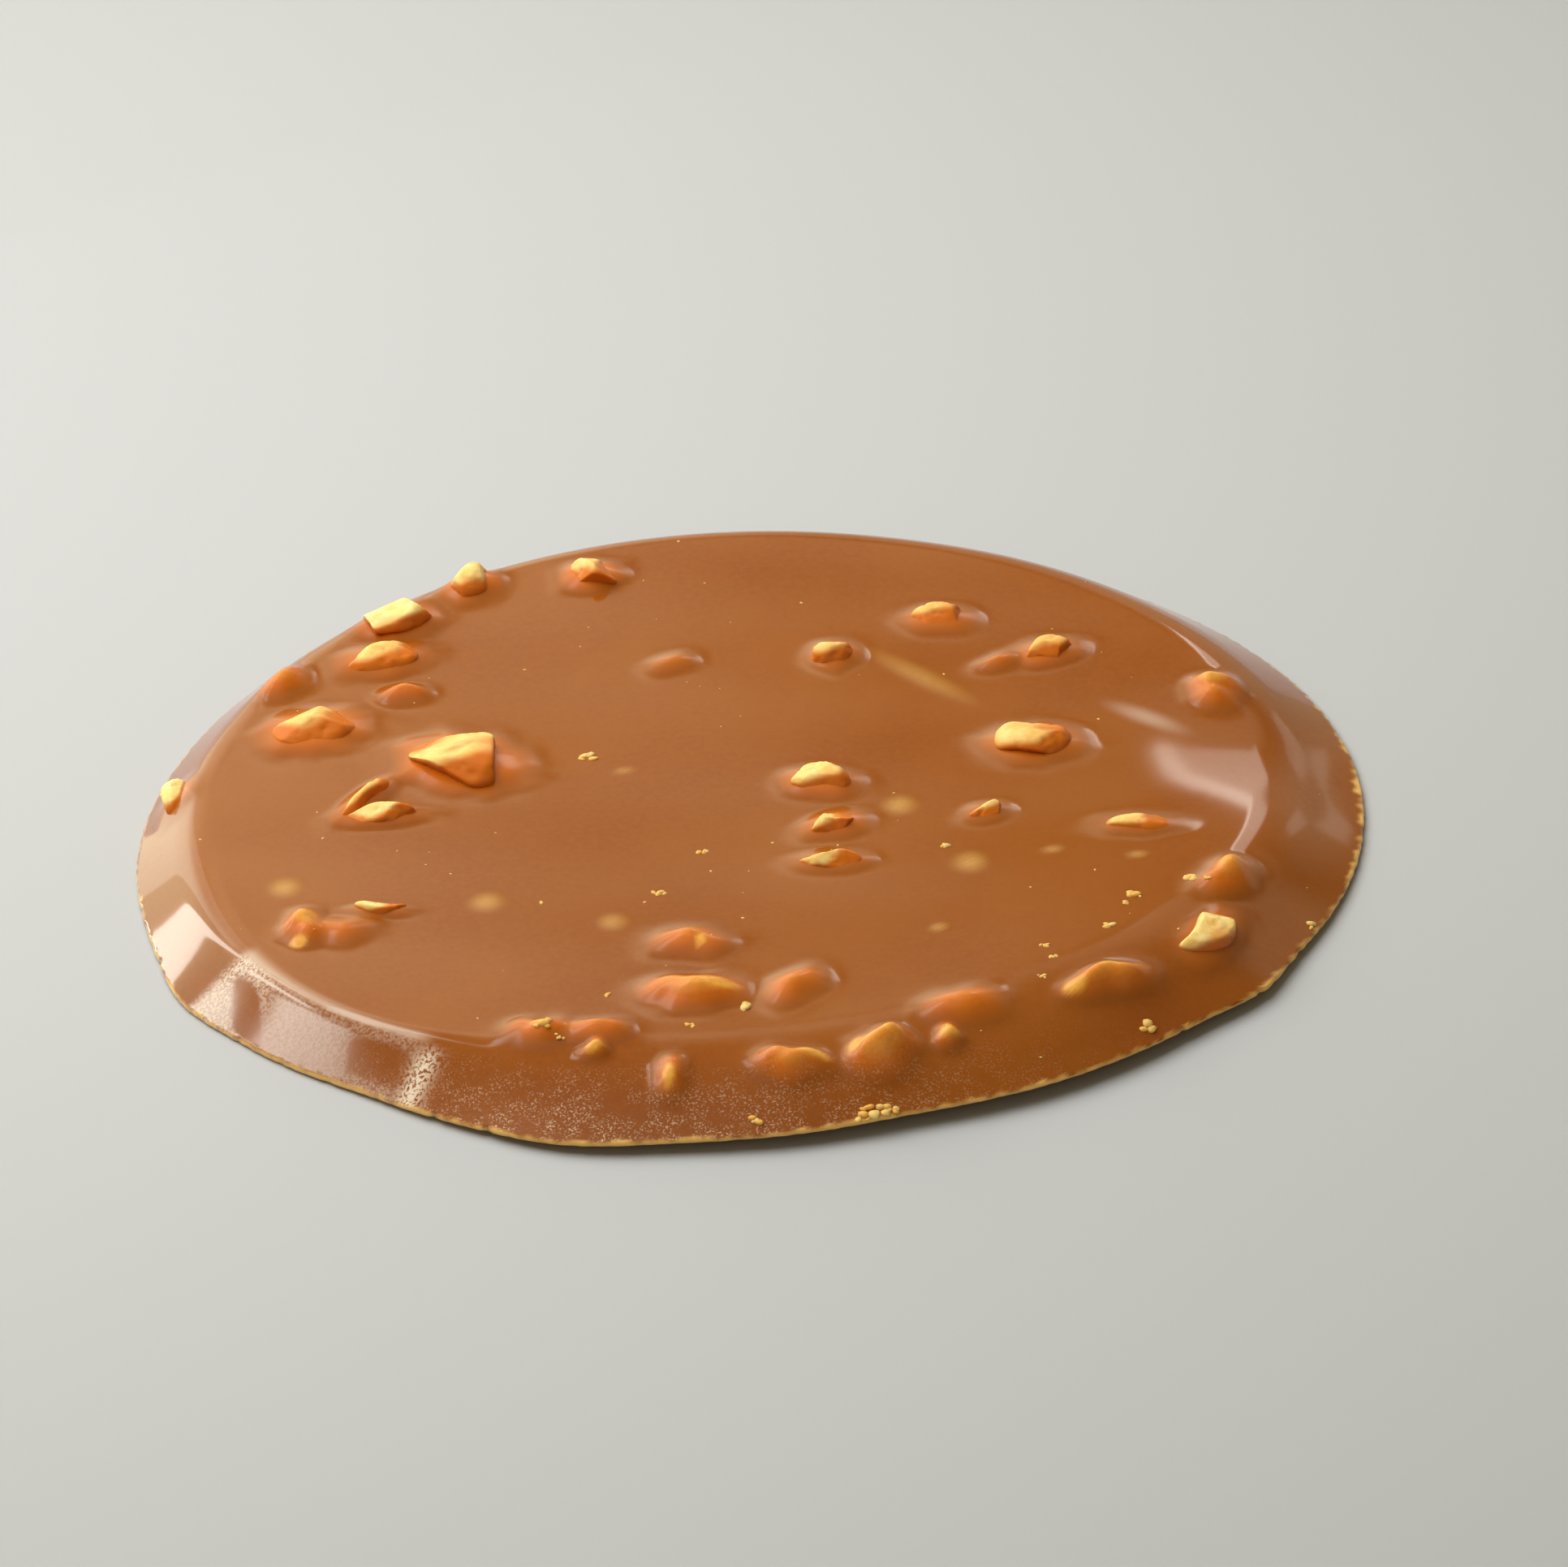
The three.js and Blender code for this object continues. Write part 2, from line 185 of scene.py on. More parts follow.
# Nuts that show faintly through a film of chocolate: x, y, length, width, turn, strength
SUNKEN_NUTS = [
    (9.1, 10.6, 7.6, 1.5, -51, 0.4),
    (-22.4, -6.8, 1.6, 1.9, 0, 0.55),
    (-12.7, -9.6, 1.7, 1.9, 0, 0.55),
    (-6.7, -12.2, 1.5, 1.7, 0, 0.5),
    (7.4, -2.6, 1.7, 2.0, 0, 0.6),
    (10.5, -8.7, 1.6, 2.1, 0, 0.65),
    (-5.9, 2.8, 1.0, 0.8, 0, 0.4),
    (14.5, -7.9, 1.0, 0.8, 0, 0.5),
    (18.5, -9.0, 1.0, 0.8, 0, 0.5),
    (8.7, -14.9, 1.0, 0.8, 0, 0.5),
]
SUNKEN_RISE = 0.05
SUNKEN_REACH = 1.35

# Painted highlights: pale streaks of window light that lie in the gloss: x, y, length, width, turn, strength
PAINTED_HIGHLIGHT_STREAKS = [
    (19.9, 4.9, 5.2, 1.5, -42, 0.32),
]
PAINTED_STREAK_REACH = 1.3

# Golden crests of coated nuts, where the film is thinnest: x, y, length, width, turn, strength
CRESTS = [
    (-1.9, -20.1, 2.6, 0.9, 5, 0.8),
    (5.1, -25.4, 2.8, 1.3, 15, 1.0),
    (16.8, -20.2, 2.4, 0.8, 25, 1.0),
    (-21.3, -10.6, 1.9, 1.1, 80, 0.7),
    (2.3, -26.3, 1.8, 0.8, -10, 1.0),
    (23.4, 7.5, 1.6, 1.0, 20, 0.7),
    (-4.4, -26.9, 1.5, 0.7, 80, 1.0),
    (14.7, -21.6, 1.5, 1.0, 20, 1.0),
    (8.6, -25.0, 1.2, 0.9, 0, 0.9),
    (4.3, -25.8, 1.2, 0.9, 60, 0.9),
    (22.5, -11.5, 1.2, 1.0, 60, 0.5),
    (-16.7, 12.2, 1.2, 0.8, 10, 0.4),
    (-7.8, -24.5, 1.1, 0.9, 40, 1.0),
    (-2.6, -15.3, 1.2, 0.6, 70, 1.0),
    (-10.3, -22.5, 1.0, 0.7, 0, 0.8),
    (-21.7, -12.5, 1.0, 0.9, 0, 0.9),
]
CREST_FULL_TO = 0.4
CREST_REACH = 1.1
CREST_GRAIN = 0.6

# How much more the film shows where chocolate climbs a bare nut than over a coated one
SKIRT_FILM = 1.3

# Crumbs of nut that lie on the top: x, y, size
CRUMBS = [
    (-7.8, 4.6, 1.0),
    (20.9, -11.7, 0.9),
    (17.9, -22.8, 0.9),
    (4.9, -29.0, 0.9),
    (-0.7, -21.5, 0.8),
    (18.1, -13.1, 0.8),
    (-10.1, -22.8, 0.8),
    (4.4, -29.0, 0.8),
    (5.4, -28.9, 0.8),
    (-4.5, -9.7, 0.7),
    (9.4, -7.0, 0.7),
    (16.8, -16.0, 0.7),
    (26.3, -13.5, 0.7),
    (-0.4, -29.3, 0.7),
    (5.9, -28.8, 0.7),
    (-2.2, -5.9, 0.6),
    (13.6, -17.6, 0.6),
    (-3.4, -22.8, 0.5),
    (17.6, -13.9, 0.5),
    (13.8, -18.8, 0.5),
    (-9.4, -23.4, 0.5),
    (21.5, -12.5, 0.45),
    (-7.1, -19.3, 0.4),
    (13.2, -20.5, 0.4),
    (-10.1, -10.0, 0.35),
]
FINE_CRUMBS = 70
FINE_CRUMB_SMALLEST = 0.12
FINE_CRUMB_LARGEST = 0.3
CRUMB_SEED = 77
CRUMB_BALL_LEVEL = 2

# Bits that a larger crumb is made of, each smaller than the one before. Scatter and largest bit are shares of
# the crumb's size, widths are shares of the bit's size, and height and lift are shares of the bit's width.
CRUMB_BITS = 4
CRUMB_SCATTER = 0.45
CRUMB_BIT_LARGEST = 0.7
CRUMB_BIT_SHRINKING = 0.1
CRUMB_BIT_NARROWEST = 0.5
CRUMB_BIT_WIDEST = 0.9
CRUMB_BIT_HEIGHT = 0.7
CRUMB_BIT_LIFT = 0.3
CRUMB_TONE_LOWEST = 0.1
CRUMB_TONE_HIGHEST = 0.7

# Ragged edge: fine notches, and chips broken out of it with depths and spreads that vary
NOTCH_DEPTH = 0.05
NOTCH_LENGTH = 0.5
CHIP_COUNT = 26
CHIP_DEPTH = 0.16
CHIP_SHALLOWEST = 0.3
CHIP_SPREAD = 0.35
CHIP_NARROWEST = 0.6
CHIP_WIDEST = 1.4
CHIP_SEED = 31
RAGGED_FALLOFF = 8

# Golden rim: its height, how uneven it is, and the shares of its height at which it begins to fade and is gone
GOLDEN_RIM = 0.19
RIM_PATCH = 1.9
RIM_FINE_UNEVENNESS = 0.5
RIM_BROAD_UNEVENNESS = 0.35
RIM_FADING = 0.6
RIM_FADED = 1.2

# Pale spots on the underside: spacing, size as shares of the spacing, strength
UNDER_SPOT_SPACING = 9.0
UNDER_SPOT_INNER = 0.1
UNDER_SPOT_OUTER = 0.16
UNDER_SPOT_STRENGTH = 0.7

# Looks of the lip in places: fine bloom whose pale specks are partly painted glints, a narrow band of
# painted reflection, sparkle, a smooth and a glossy length. FULL is the share of the lip, from its top down,
# at which a look is full.
BLOOM_AND_GLINT_AZIMUTH = 257
BLOOM_AND_GLINT_SPREAD = 28
REFLECTION_BAND_AZIMUTH = 235.8
REFLECTION_BAND_SPREAD = 1.3
REFLECTION_BAND_FULL = 0.4
SPARKLE_FROM = 238
SPARKLE_FROM_FADE = 4
SPARKLE_TO = 290
SPARKLE_TO_FADE = 25
SPARKLE_FULL = 0.2
SMOOTH_LIP_AZIMUTH = 188
SMOOTH_LIP_SPREAD = 16
SMOOTH_LIP_FULL = 0.1
GLOSSY_LIP_AZIMUTH = 200
GLOSSY_LIP_SPREAD = 40
GLOSSY_LIP_FULL = 0.12

# Painted reflection of a window on the lip's left facet, left of the front, with the window's bars clear in
# it:
# azimuth, share of the lip from its top down, half width in degrees, half height, and how many degrees the bar
# leans over the whole lip
PAINTED_WINDOW_FROM = 207.6
PAINTED_WINDOW_FROM_FADE = 1
PAINTED_WINDOW_TO = 234.5
PAINTED_WINDOW_TO_FADE = 1.5
PAINTED_WINDOW_FULL = 0.06
PAINTED_WINDOW_STRONGEST = 0.75
PAINTED_WINDOW_STRONG_TO = 209
PAINTED_WINDOW_WEAK_FROM = 217
PAINTED_WINDOW_WEAKEST = 0.24
PAINTED_WINDOW_IN_BARS = 0.04
PAINTED_WINDOW_BARS = [
    (230.9, 0.53, 3.8, 0.3, 2.2),
    (213.5, 0.62, 2.4, 0.36, 7.4),
]
BAR_CLEAR_TO = 0.85
BAR_ENDS = 1.1

# Painted highlight along the fold above the facet: strength, and width to either side as shares of the lip
FOLD_SHEEN = 0.45
FOLD_SHEEN_OUTWARD = 0.05
FOLD_SHEEN_INWARD = 0.12

# Camera: where the photograph's camera stands over the tuile as it lies
PHOTO_WIDTH = 1932
PHOTO_HEIGHT = 1931
CAMERA_DISTANCE = 430.0
CAMERA_ELEVATION = math.radians(28.94)
CAMERA_ROLL = math.radians(3.65)
PHOTO_SCALE = 25.203
PHOTO_ORIGIN_X = 923.3
PHOTO_ORIGIN_Y = 1028.3
SENSOR = 36.0

# Lights: panes of a window on the left as seen from the left lip, and small panes that show in the shoulder
# on the right: azimuth from and to, lift from and to, radiance, roll
LEFT_LIP = Vector((-25, -14, 1))
LEFT_PANES = [
    (112, 124.6, 0, 45, 0.55, 0),
    (128.7, 132.4, 0, 45, 2.9, 0),
    (139.8, 160.7, 34.8, 38.3, 5.0, 26.7),
    (153.8, 182.4, 34.1, 38.9, 5.0, 29.9),
    (110, 150, 48, 57, 2.6, 0),
]
LEFT_DISTANCE = 1500.0
LEFT_COLOUR = (0.97, 1, 0.92)
RIGHT_SHOULDER = Vector((22, 0, 2))
RIGHT_PANES = [
    (75.4, 83.5, 20.3, 29.8, 1.7, -8.4),
    (82.4, 83.5, 20.3, 29.8, 2.2, -8.4),
    (62, 66, 15.5, 21, 0.5, 0),
]
RIGHT_DISTANCE = 700.0
RIGHT_COLOUR = (1, 0.96, 0.85)

# Fill from above, which lights the tuile but doesn't show in its gloss
FILL_WAY = Vector((-0.4, 0.3, 0.86)).normalized()
FILL_DISTANCE = 180.0
FILL_SIDE = 240.0
FILL_RADIANCE = 2.95
FILL_COLOUR = (1, 0.98, 0.95)

# Backdrop: behind the tuile it brightens to the left, towards the horizon and towards a crown at the height
# that the top reflects, and fades above it. A glow fills the camera's side too. Heights, and how far a
# direction points behind or in front, are measured on a direction of length 1.
BACKDROP_COLOUR = (1, 0.92, 0.62)
BACKDROP_LEVEL = 0.42
BACKDROP_SLOPE = (-7, 0, 0)
BACKDROP_DARKEST = 0.12
BACKDROP_BRIGHTEST = 0.95
SIDE_FROM = 0.35
SIDE_FULL = 0.6
HORIZON_TOP = 0.455
HORIZON_FULL = 0.3
HORIZON_GLOW = 0.35
CROWN_FROM = 0.455
CROWN_FULL = 0.53
CROWN_GLOW = 0.42
CROWN_FADING = 0.57
CROWN_FADED = 0.7
ABOVE_CROWN = 0.15
FRONT_GLOW = 0.38
FRONT_FULL = 0.6
FRONT_TOP = 0.7

# Colours as they show on a screen, from 0 to 255
CHOCOLATE_DARK = (142, 72, 14)
CHOCOLATE_LIGHT = (150, 81, 20)
CHOCOLATE_MOTTLED = (165, 92, 26)
FILM_THICK = (212, 110, 24)
FILM_THIN = (250, 162, 60)
SUNKEN_COLOUR = (220, 172, 92)
CREST_COLOUR = (250, 182, 74)
# Pale specks of bloom, which partly stand in for painted glints
BLOOM_AND_GLINT_COLOUR = (244, 216, 178)
# Painted reflection band on the lip
REFLECTION_BAND_COLOUR = (236, 214, 188)
# Colour of the painted window reflection on the facet and of the painted highlights
PAINTED_REFLECTION_COLOUR = (240, 222, 200)
UNDER_SPOT_COLOUR = (193, 144, 71)
RIM_COLOUR = (244, 192, 106)
NUT_FILM = (214, 114, 28)
NUT_CREAM_DARK = (255, 208, 112)
NUT_CREAM_LIGHT = (255, 234, 166)
NUT_GOLDEN_DARK = (242, 154, 52)
NUT_GOLDEN_LIGHT = (252, 186, 78)

# Pale floor: its colour as shaders take it, and half its side
FLOOR_COLOUR = (0.48, 0.49, 0.51, 1)
FLOOR_REACH = 2000

# Mesh of the chocolate: steps of its grid, how they crowd towards the edge, and the rings of its underside
GRID = 280
RIM_CROWDING = 0.45
UNDER_RINGS = (0.985, 0.93, 0.82, 0.66, 0.48, 0.3, 0.14)


def smooth_step(low, high, value):
    share = np.clip((value - low) / (high - low), 0, 1)
    return share * share * (3 - 2 * share)


def make_random(seed):
    """Repeatable random numbers from 0 to 1, the same as in the solid."""
    state = (seed * 2654435761) & 0xFFFFFFFF
    while True:
        state = (state * 1664525 + 1013904223) & 0xFFFFFFFF
        yield state / 2**32


def between(draw, low, high):
    return low + (high - low) * next(draw)


def hump(angle, azimuth, spread):
    """1 at the azimuth, falling off to both sides like a bell."""
    apart = angle - math.radians(azimuth)
    away = np.arctan2(np.sin(apart), np.cos(apart)) / math.radians(spread)
    return np.exp(-away * away)


def edge_radius(angle):
    reach = np.full_like(angle, RADIUS)
    for azimuth, height, spread in OUTLINE_SWELLS:
        reach += height * hump(angle, azimuth, spread)
    return reach


def underside(x, y):
    """Height of the gently bent underside, without its foot."""
    bend = math.radians(BEND_AZIMUTH)
    across = np.abs(x * math.cos(bend) + y * math.sin(bend))
    lifted = np.maximum(0, across - FLAT_HALF_WIDTH) / (RADIUS - FLAT_HALF_WIDTH)
    return FOOT_HEIGHT + BEND_RISE * lifted * lifted


def resting_side(x, y):
    """Height of the underside with the flat foot that the tuile rests on."""
    bend = math.radians(BEND_AZIMUTH)
    along = np.abs(x * math.sin(bend) - y * math.cos(bend)) - FOOT_LENGTH / 2
    across = np.abs(x * math.cos(bend) + y * math.sin(bend)) - FOOT_WIDTH / 2
    return underside(x, y) - FOOT_HEIGHT * (1 - smooth_step(0, FOOT_EDGE, np.maximum(along, across)))


def lumps(x, y, z, size):
    """Soft random values, about -1 to 1, with features of the given size."""
    return np.array([noise.noise(Vector(p)) for p in (np.stack([x, y, z], -1) / size).tolist()])


def ragged(angle):
    """How far the broken edge stands out from the smooth outline."""
    reach = NOTCH_DEPTH * lumps(RADIUS * np.cos(angle), RADIUS * np.sin(angle), 0 * angle, NOTCH_LENGTH)
    draw = make_random(CHIP_SEED)
    for _ in range(CHIP_COUNT):
        azimuth = 360 * next(draw)
        depth = CHIP_DEPTH * between(draw, CHIP_SHALLOWEST, 1)
        spread = CHIP_SPREAD * between(draw, CHIP_NARROWEST, CHIP_WIDEST)
        reach -= depth * hump(angle, azimuth, spread)
    return reach


def shoulder(x, y):
    """How far the top falls towards the edge on the right."""
    inward = RADIUS - np.hypot(x, y)
    share = np.clip(1 - inward / SHOULDER_WIDTH, 0, 1)
    beside = hump(np.arctan2(y, x), SHOULDER_AZIMUTH, SHOULDER_SPREAD)
    return SHOULDER_FALL * share**SHOULDER_ROUNDING * beside


def waves(x, y):
    total = np.zeros_like(x)
    for height, length, heading in WAVES:
        along = x * math.cos(math.radians(heading)) + y * math.sin(math.radians(heading))
        total += height * np.sin(2 * math.pi * along / length)
    return total


def lip_share(x, y):
    """0 at the edge, 1 where the lip ends and the top begins, more further in."""
    angle = np.arctan2(y, x)
    inset = LIP_INSET + LIP_INSET_SWING * np.cos(angle - math.radians(LIP_WIDEST_AZIMUTH))
    inset -= LIP_NARROWING * hump(angle, LIP_NARROW_AZIMUTH, LIP_NARROW_SPREAD)
    edge = edge_radius(angle)
    return np.maximum(0, (edge - np.hypot(x, y)) / (edge - RADIUS + inset))


def lip_profile(x, y):
    """Height of the lip from 0 to 1: a slope that bends softly into the top, or sharply along the fold."""
    share = lip_share(x, y)
    angle = np.arctan2(y, x)
    softness = LIP_SOFTNESS + LIP_FRONT_SOFTENING * hump(angle, LIP_FRONT_AZIMUTH, LIP_FRONT_SPREAD)
    softness -= LIP_FOLD_SHARPENING * hump(angle, LIP_FOLD_AZIMUTH, LIP_FOLD_SPREAD)
    near = np.clip(0.5 + 0.5 * (1 - share) / softness, 0, 1)
    return 1 - near + near * share - softness * near * (1 - near)


def poured(x, y):
    """Height of the poured top, before nuts raise it."""
    inside = np.minimum(1, lip_share(x, y))
    depth = THICKNESS - EDGE_HEIGHT - shoulder(x, y)
    return underside(x, y) + EDGE_HEIGHT + depth * lip_profile(x, y) + inside * waves(x, y)


def share_across(x, y, middle_x, middle_y, length, width, turn):
    """Distance from the middle of a turned oval: 0 there and 1 on the oval."""
    turn = math.radians(turn)
    along = (x - middle_x) * math.cos(turn) + (y - middle_y) * math.sin(turn)
    aside = (y - middle_y) * math.cos(turn) - (x - middle_x) * math.sin(turn)
    return 2 * np.hypot(along / length, aside / width)


def coated_bumps():
    """Three rounded bumps to each coated nut: x, y, length, width, height and turn."""
    for number, (nut_x, nut_y, length, width, rise, turn, cover, *_) in enumerate(NUTS):
        if cover < COATED:
            continue
        draw = make_random(BUMP_SEED + number)
        heading = math.radians(turn)
        for step in (-1, 0, 1):
            along = step * BUMP_STEP * length
            aside = BUMP_STEP * width * (2 * next(draw) - 1)
            height = rise * (1 - BUMP_LOWERING * abs(step) * next(draw))
            x = nut_x + along * math.cos(heading) - aside * math.sin(heading)
            y = nut_y + along * math.sin(heading) + aside * math.cos(heading)
            yield x, y, BUMP_LENGTH * length, BUMP_WIDTH * width, height, turn


def coated_climbs(x, y):
    """How far the chocolate rises over the nuts that it covers."""
    uneven = 1 + LUMPINESS * lumps(x, y, 0 * x, LUMP_SIZE)
    cubes = np.zeros_like(x)
    for bump_x, bump_y, length, width, height, turn in coated_bumps():
        distance = uneven * share_across(x, y, bump_x, bump_y, length, width, turn)
        cubes += (height * np.exp(-(distance**BUMP_STEEPNESS))) ** 3
    return np.cbrt(cubes)


def bare_climbs(x, y):
    """How far the chocolate climbs the sides of the nuts that stand out of it."""
    uneven = 1 + LUMPINESS * lumps(x, y, 0 * x, LUMP_SIZE)
    cubes = np.zeros_like(x)
    for nut_x, nut_y, length, width, rise, turn, cover, *_ in NUTS:
        if cover >= COATED:
            continue
        distance = uneven * share_across(x, y, nut_x, nut_y, length, width, turn)
        cubes += (cover * rise * np.exp(-((distance / SKIRT) ** SKIRT_STEEPNESS))) ** 3
    return np.cbrt(cubes)


def along_facet(azimuth):
    """1 along the facet that carries the painted window reflection, falling to 0 past its ends."""
    begun = smooth_step(PAINTED_WINDOW_FROM - PAINTED_WINDOW_FROM_FADE, PAINTED_WINDOW_FROM + PAINTED_WINDOW_FROM_FADE, azimuth)
    ended = smooth_step(PAINTED_WINDOW_TO - PAINTED_WINDOW_TO_FADE, PAINTED_WINDOW_TO + PAINTED_WINDOW_TO_FADE, azimuth)
    return begun * (1 - ended)


def painted_window_reflection(x, y):
    """Strength of the painted window reflection on the lip's left facet, clear where the window's bars are."""
    azimuth = np.degrees(np.arctan2(y, x)) % 360
    lip = 1 - np.minimum(1, lip_share(x, y))
    weakening = smooth_step(PAINTED_WINDOW_STRONG_TO, PAINTED_WINDOW_WEAK_FROM, azimuth)
    strength = PAINTED_WINDOW_STRONGEST - (PAINTED_WINDOW_STRONGEST - PAINTED_WINDOW_WEAKEST) * weakening
    strength *= smooth_step(0, PAINTED_WINDOW_FULL, lip)
    for bar_azimuth, bar_lip, half_width, half_height, lean in PAINTED_WINDOW_BARS:
        aside = (azimuth - bar_azimuth - lean * (lip - bar_lip)) / half_width
        down = (lip - bar_lip) / half_height
        outside = smooth_step(BAR_CLEAR_TO, BAR_ENDS, (aside**4 + down**4) ** 0.25)
        strength *= PAINTED_WINDOW_IN_BARS + (1 - PAINTED_WINDOW_IN_BARS) * outside
    return strength * along_facet(azimuth)


def fold_sheen(x, y):
    """Strength of the painted highlight along the fold, sharp towards the lip and soft towards the top."""
    beyond = lip_share(x, y) - 1
    width = np.where(beyond < 0, FOLD_SHEEN_OUTWARD, FOLD_SHEEN_INWARD)
    return FOLD_SHEEN * np.exp(-((beyond / width) ** 2)) * along_facet(np.degrees(np.arctan2(y, x)) % 360)


def spots(x, y, table, soft_from, soft_to):
    """Strength of the nearest spot in a table of ovals: x, y, length, width, turn, strength."""
    strongest = np.zeros_like(x)
    for spot_x, spot_y, length, width, turn, strength in table:
        away = share_across(x, y, spot_x, spot_y, length, width, turn)
        strongest = np.maximum(strongest, strength * (1 - smooth_step(soft_from, soft_to, away)))
    return strongest


def top_surface(x, y):
    """Height of the top, with the chocolate that nuts raise."""
    inside = np.clip(edge_radius(np.arctan2(y, x)) - np.hypot(x, y), 0, 1)
    climbs = np.cbrt(coated_climbs(x, y) ** 3 + bare_climbs(x, y) ** 3)
    return poured(x, y) + inside * (climbs + SUNKEN_RISE * spots(x, y, SUNKEN_NUTS, 0, SUNKEN_REACH))


def new_piece(name, points, faces, material):
    mesh = bpy.data.meshes.new(name)
    mesh.from_pydata((np.asarray(points) * MM).tolist(), [], faces)
    mesh.update()
    mesh.polygons.foreach_set("use_smooth", [True] * len(mesh.polygons))
    mesh.materials.append(material)
    piece = bpy.data.objects.new(name, mesh)
    bpy.context.scene.collection.objects.link(piece)
    return piece


def set_attribute(piece, name, values):
    attribute = piece.data.attributes.new(name, "FLOAT", "POINT")
    attribute.data.foreach_set("value", np.asarray(values, np.float32))


def unit_disc(steps):
    """A square grid drawn onto a round of radius 1, with its rings crowded towards the edge."""
    line = np.linspace(-1, 1, steps + 1)
    across, along = np.meshgrid(line, line)
    wide = np.abs(across) > np.abs(along)
    reach = np.where(wide, across, along)
    safe = np.where(reach == 0, 1, reach)
    angle = np.where(wide, math.pi / 4 * along / safe, math.pi / 2 - math.pi / 4 * across / safe)
    share = np.abs(reach)
    crowded = share + RIM_CROWDING * np.sin(math.pi * share) / math.pi
    signed = np.sign(reach) * crowded
    return (signed * np.cos(angle)).ravel(), (signed * np.sin(angle)).ravel()


def grid_faces(steps):
    corner = (np.arange(steps)[:, None] * (steps + 1) + np.arange(steps)[None, :]).ravel()
    return np.stack([corner, corner + 1, corner + steps + 2, corner + steps + 1], -1).tolist()


def grid_rim(steps):
    """The grid's outer points in order, turning left as seen from above."""
    side = np.arange(steps)
    row = steps + 1
    return np.concatenate([side, side * row + steps, steps * row + steps - side, (steps - side) * row])


def make_chocolate(material):
    """The top as a grid on a round, closed below by rings of the underside."""
    unit_x, unit_y = unit_disc(GRID)
    angle = np.arctan2(unit_y, unit_x)
    reach = edge_radius(angle) + np.hypot(unit_x, unit_y) ** RAGGED_FALLOFF * ragged(angle)
    x, y = unit_x * reach, unit_y * reach
    points = [np.stack([x, y, top_surface(x, y)], -1)]
    faces = grid_faces(GRID)
    rim = grid_rim(GRID)
    count = len(rim)
    upper = rim
    made = len(x)
    for share in (1.0, *UNDER_RINGS):
        ring_x, ring_y = x[rim] * share, y[rim] * share
        points.append(np.stack([ring_x, ring_y, resting_side(ring_x, ring_y)], -1))
        lower = made + np.arange(count)
        made += count
        after = np.roll(np.arange(count), -1)
        faces += np.stack([upper, lower, lower[after], upper[after]], -1).tolist()
        upper = lower
    points.append(np.array([[0.0, 0.0, 0.0]]))
    after = np.roll(upper, -1)
    faces += [[int(a), made, int(b)] for a, b in zip(upper, after)]
    points = np.concatenate(points)
    piece = new_piece("chocolate", points, faces, material)
    under = np.arange(len(points)) >= len(unit_x) + count
    mark_chocolate(piece, points, under)
    return piece


def mark_chocolate(piece, points, under):
    """Marks where the material changes its look, as values on the points."""

    def mark(name, values):
        set_attribute(piece, name, np.where(under, 0, values))

    x, y = points[:, 0], points[:, 1]
    angle = np.arctan2(y, x)
    azimuth = np.degrees(angle) % 360
    lip = 1 - np.minimum(1, lip_share(x, y))
    height = points[:, 2] - underside(x, y)
    uneven = RIM_FINE_UNEVENNESS * lumps(*points.T, NOTCH_LENGTH)
    uneven += RIM_BROAD_UNEVENNESS * lumps(*points.T, RIM_PATCH)
    mark("rim", 1 - smooth_step(RIM_FADING, RIM_FADED, height / GOLDEN_RIM + uneven))
    # Pale specks of bloom on the front of the lip, partly painted glints
    bloom_and_glints = lip * hump(angle, BLOOM_AND_GLINT_AZIMUTH, BLOOM_AND_GLINT_SPREAD)
    # Painted reflection: a narrow pale band where the edge of the window shows on the lip
    reflection_band = smooth_step(0, REFLECTION_BAND_FULL, lip) * hump(angle, REFLECTION_BAND_AZIMUTH, REFLECTION_BAND_SPREAD)
    mark("bloom_and_glints", np.maximum(bloom_and_glints, reflection_band))
    mark("reflection_band", reflection_band)
    begun = smooth_step(SPARKLE_FROM - SPARKLE_FROM_FADE, SPARKLE_FROM + SPARKLE_FROM_FADE, azimuth)
    ended = smooth_step(SPARKLE_TO - SPARKLE_TO_FADE, SPARKLE_TO + SPARKLE_TO_FADE, azimuth)
    mark("sparkle", smooth_step(0, SPARKLE_FULL, lip) * begun * (1 - ended))
    smooth_length = hump(angle, SMOOTH_LIP_AZIMUTH, SMOOTH_LIP_SPREAD)
    mark("smooth", smooth_step(0, SMOOTH_LIP_FULL, lip) * smooth_length)
    glossy_length = hump(angle, GLOSSY_LIP_AZIMUTH, GLOSSY_LIP_SPREAD)
    mark("glossy", smooth_step(0, GLOSSY_LIP_FULL, lip) * glossy_length)
    # Painted reflection of the left window on the facet, with its bars left clear
    mark("painted_window_reflection", painted_window_reflection(x, y))
    # Painted highlights: the line along the fold and the streaks in the gloss
    mark("sheen", np.maximum(fold_sheen(x, y), spots(x, y, PAINTED_HIGHLIGHT_STREAKS, 0, PAINTED_STREAK_REACH)))
    film = np.maximum(coated_climbs(x, y), SKIRT_FILM * bare_climbs(x, y))
    mark("film", np.clip(film, 0, 1))
    mark("sunken", spots(x, y, SUNKEN_NUTS, 0, SUNKEN_REACH))
    crest = spots(x, y, CRESTS, CREST_FULL_TO, CREST_REACH)
    crest *= 1 + CREST_GRAIN * lumps(*points.T, NUT_GRAIN)
    mark("crest", np.clip(crest, 0, 1))
    set_attribute(piece, "under", under)


def ball(level):
    """Points and triangles of a ball of radius 1."""
    maker = bmesh.new()
    bmesh.ops.create_icosphere(maker, subdivisions=level, radius=1)
    maker.verts.ensure_lookup_table()
    points = np.array([v.co for v in maker.verts])
    faces = np.array([[v.index for v in f.verts] for f in maker.faces])
    maker.free()
    return points, faces


